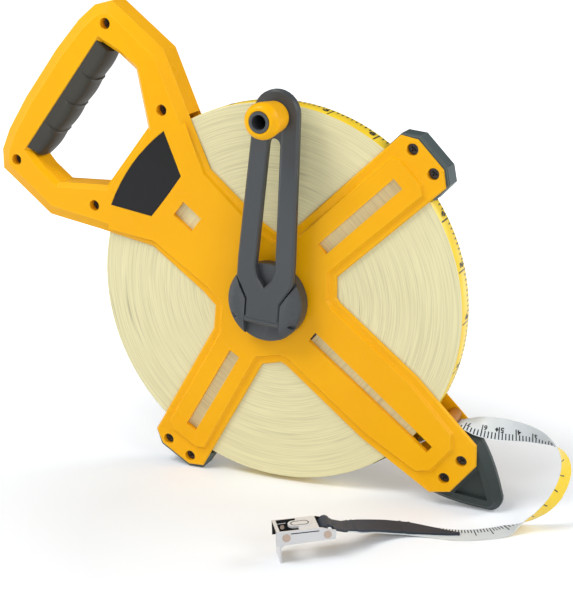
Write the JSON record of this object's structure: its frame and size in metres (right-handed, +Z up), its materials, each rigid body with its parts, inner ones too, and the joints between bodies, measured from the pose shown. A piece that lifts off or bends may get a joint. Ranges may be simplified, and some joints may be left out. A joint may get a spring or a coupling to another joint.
{
  "type": "open-reel measuring tape",
  "caption": "Open-reel tape measure: star frame with closed handle, folding winding crank and ground spike, a wound fibreglass tape, and a free end with strap and claw hook on the ground.",
  "frame": {"origin": "on the ground, under the middle of the reel without its free tape", "axes": "+Z up, +X to the right along the reel, the crank faces -Y"},
  "size_m": [0.371, 0.1221, 0.2972],
  "materials": {
    "frame_plastic": "smooth, slightly glossy",
    "rubber": "matt",
    "dark_plastic": "fine matt",
    "crank_plastic": "fine matt",
    "knob_plastic": "smooth",
    "screw_steel": "black, satin",
    "bright_steel": "satin",
    "label": "bare, matt",
    "roller_plastic": "smooth",
    "bush_plastic": "matt",
    "tape": "coated fibreglass",
    "strap": "matt",
    "hook_metal": "bright plated"
  },
  "bodies": {
    "frame": {"front_frame": "frame_plastic", "rear_frame": "frame_plastic", "handle_grip": "rubber", "upper_bumper": "rubber", "lower_bumper": "rubber", "ground_spike": "dark_plastic", "frame_screws": "screw_steel", "label_plate": "label", "guide_pins": "bright_steel", "front_bush": "bush_plastic", "rear_bush": "bush_plastic", "tape_run": "tape", "tape_lead": "tape", "end_strap": "strap"},
    "reel": {"spool_core": "dark_plastic", "tape_pack": "tape", "crank_hub": "crank_plastic", "rear_cap": "dark_plastic", "hub_screw": "bright_steel", "crank_pivot_pin": "bright_steel"},
    "crank": {"crank_arm": "crank_plastic", "knob_post": "dark_plastic"},
    "knob": {"crank_knob": "knob_plastic"},
    "upper_roller": {"upper_guide_roller": "roller_plastic"},
    "lower_roller": {"lower_guide_roller": "roller_plastic"},
    "hook": {"hook_frame": "hook_metal", "strap_pin": "hook_metal", "claw_rivets": "hook_metal"},
    "claw": {"hook_claw": "hook_metal"}
  },
  "joints": [
    {"name": "reel_spin", "type": "hinge", "parent": "frame", "child": "reel", "pos_m": [0.02409, 0.0058, 0.12133], "axis": [0, -1, 0], "continuous": true},
    {"name": "crank_fold", "type": "hinge", "parent": "reel", "child": "crank", "pos_m": [0.02285, -0.0056, 0.1106], "axis": [0.9934, 0, -0.1145], "range_deg": [0, 180]},
    {"name": "knob_spin", "type": "hinge", "parent": "crank", "child": "knob", "pos_m": [0.0371, -0.0086, 0.23418], "axis": [0, -1, 0], "continuous": true},
    {"name": "upper_roller_spin", "type": "hinge", "parent": "frame", "child": "upper_roller", "pos_m": [0.13444, 0.0162, 0.05523], "axis": [0, -1, 0], "continuous": true},
    {"name": "lower_roller_spin", "type": "hinge", "parent": "frame", "child": "lower_roller", "pos_m": [0.13914, 0.0162, 0.04756], "axis": [0, -1, 0], "continuous": true},
    {"name": "hook_swing", "type": "hinge", "parent": "frame", "child": "hook", "pos_m": [0.0871, -0.0688, 0.015], "axis": [-0.5664, 0.8241, 0], "range_deg": [0, 90]},
    {"name": "claw_fold", "type": "hinge", "parent": "hook", "child": "claw", "pos_m": [0.06798, -0.08194, 0.0156], "axis": [0.5664, -0.8241, 0], "range_deg": [0, 90]}
  ]
}
